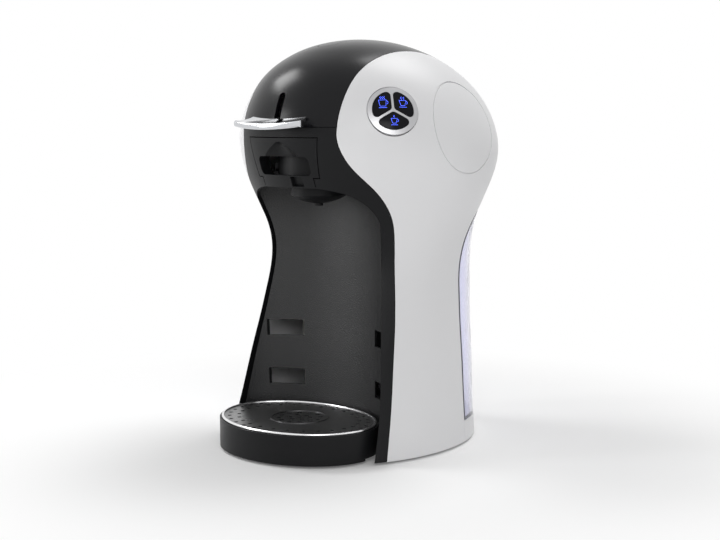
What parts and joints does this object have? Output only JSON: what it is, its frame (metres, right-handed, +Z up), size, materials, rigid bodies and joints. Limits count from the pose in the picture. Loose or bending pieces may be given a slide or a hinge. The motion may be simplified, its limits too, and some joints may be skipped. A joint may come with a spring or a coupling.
{
  "type": "pod coffee machine",
  "caption": "Free-standing capsule coffee machine with a round head over a cup bay, lever-closed brew head, capsule drawer, rear water tank and drip tray.",
  "frame": {"origin": "centre of the machine's outline on the table it stands on", "axes": "+Z up, -Y towards the user, the control ring is on the +X side"},
  "size_m": [0.2056, 0.2367, 0.314],
  "materials": {
    "gloss_black": "polished black",
    "satin_black": "fine grained satin black",
    "satin_white": "satin white",
    "chrome": "mirror chrome",
    "silver": "brushed silver",
    "button_black": "gloss black, lit cup sign",
    "steel_plate": "dark brushed stainless",
    "tank_clear": "clear, faint lavender",
    "rubber": "matte rubber",
    "inner_plastic": "moulded dark grey",
    "steel": "plain steel",
    "heater_metal": "cast aluminium",
    "board": "green laminate",
    "hose": "pale silicone"
  },
  "bodies": {
    "chassis": {"base_plate": "satin_black", "rubber_feet": "rubber", "base_screws": "steel", "right_side_panel": "satin_white", "left_side_panel": "satin_white", "front_frame": "satin_black", "cup_bay_liner": "satin_black", "top_dome": "gloss_black", "dome_top_strip": "gloss_black", "rear_cover": "satin_black", "tank_bay_wall": "satin_black", "tank_shelf": "satin_white", "cord_inlet": "rubber", "lever_pin": "steel", "brew_frame": "inner_plastic", "return_spring": "steel", "drawer_rails": "inner_plastic", "spout_cup": "satin_black", "control_bezel": "silver", "button_board": "board", "button_switches": "inner_plastic", "tank_dock": "inner_plastic", "dock_seal": "rubber", "pump": "inner_plastic", "pump_mounts": "rubber", "pump_bracket": "steel", "flow_meter": "inner_plastic", "suction_hose": "hose", "pressure_hose": "hose", "brew_hose": "hose", "thermoblock": "heater_metal", "heater_bracket": "steel", "thermostats": "inner_plastic", "control_board": "board"},
    "lever": {"lever_handle": "chrome", "lever_arm": "satin_black"},
    "brew_head": {"brew_head": "inner_plastic", "brew_seal": "rubber", "piercing_needle": "steel"},
    "drawer": {"drawer_front": "satin_black", "capsule_carrier": "satin_black"},
    "tray": {"drip_tray": "satin_black"},
    "grid": {"drip_grid": "steel_plate"},
    "tank": {"water_tank": "tank_clear", "tank_lid": "tank_clear", "tank_valve": "inner_plastic"},
    "tall_cup_button": {"button_tall_cup": "button_black"},
    "small_cup_button": {"button_small_cup": "button_black"},
    "wide_cup_button": {"button_wide_cup": "button_black"}
  },
  "joints": [
    {"name": "lever_lift", "type": "hinge", "parent": "chassis", "child": "lever", "pos_m": [0, -0.008, 0.262], "axis": [-1, 0, 0], "range_deg": [0, 11.5]},
    {"name": "brew_head_lift", "type": "slide", "parent": "chassis", "child": "brew_head", "axis": [0, 0, 1], "range_m": [0, 0.00501], "deforming": ["return_spring", "brew_hose"]},
    {"name": "drawer_slide", "type": "slide", "parent": "chassis", "child": "drawer", "axis": [0, -1, 0], "range_m": [0, 0.065]},
    {"name": "tray_slide", "type": "slide", "parent": "chassis", "child": "tray", "axis": [0, -1, 0], "range_m": [0, 0.11]},
    {"name": "grid_lift", "type": "slide", "parent": "tray", "child": "grid", "axis": [0, 0, 1], "range_m": [0, 0.06]},
    {"name": "tank_slide", "type": "slide", "parent": "chassis", "child": "tank", "axis": [0, 1, 0], "range_m": [0, 0.12]},
    {"name": "tall_cup_press", "type": "slide", "parent": "chassis", "child": "tall_cup_button", "axis": [-0.7252, 0.5486, -0.4161], "range_m": [0, 0.0012], "stiffness_N_per_m": 300},
    {"name": "small_cup_press", "type": "slide", "parent": "chassis", "child": "small_cup_button", "axis": [-0.7252, 0.5486, -0.4161], "range_m": [0, 0.0012], "stiffness_N_per_m": 300},
    {"name": "wide_cup_press", "type": "slide", "parent": "chassis", "child": "wide_cup_button", "axis": [-0.7252, 0.5486, -0.4161], "range_m": [0, 0.0012], "stiffness_N_per_m": 300}
  ],
  "couplings": [
    {"joint": "brew_head_lift", "follows": "lever_lift", "m_per_rad": 0.024911}
  ]
}
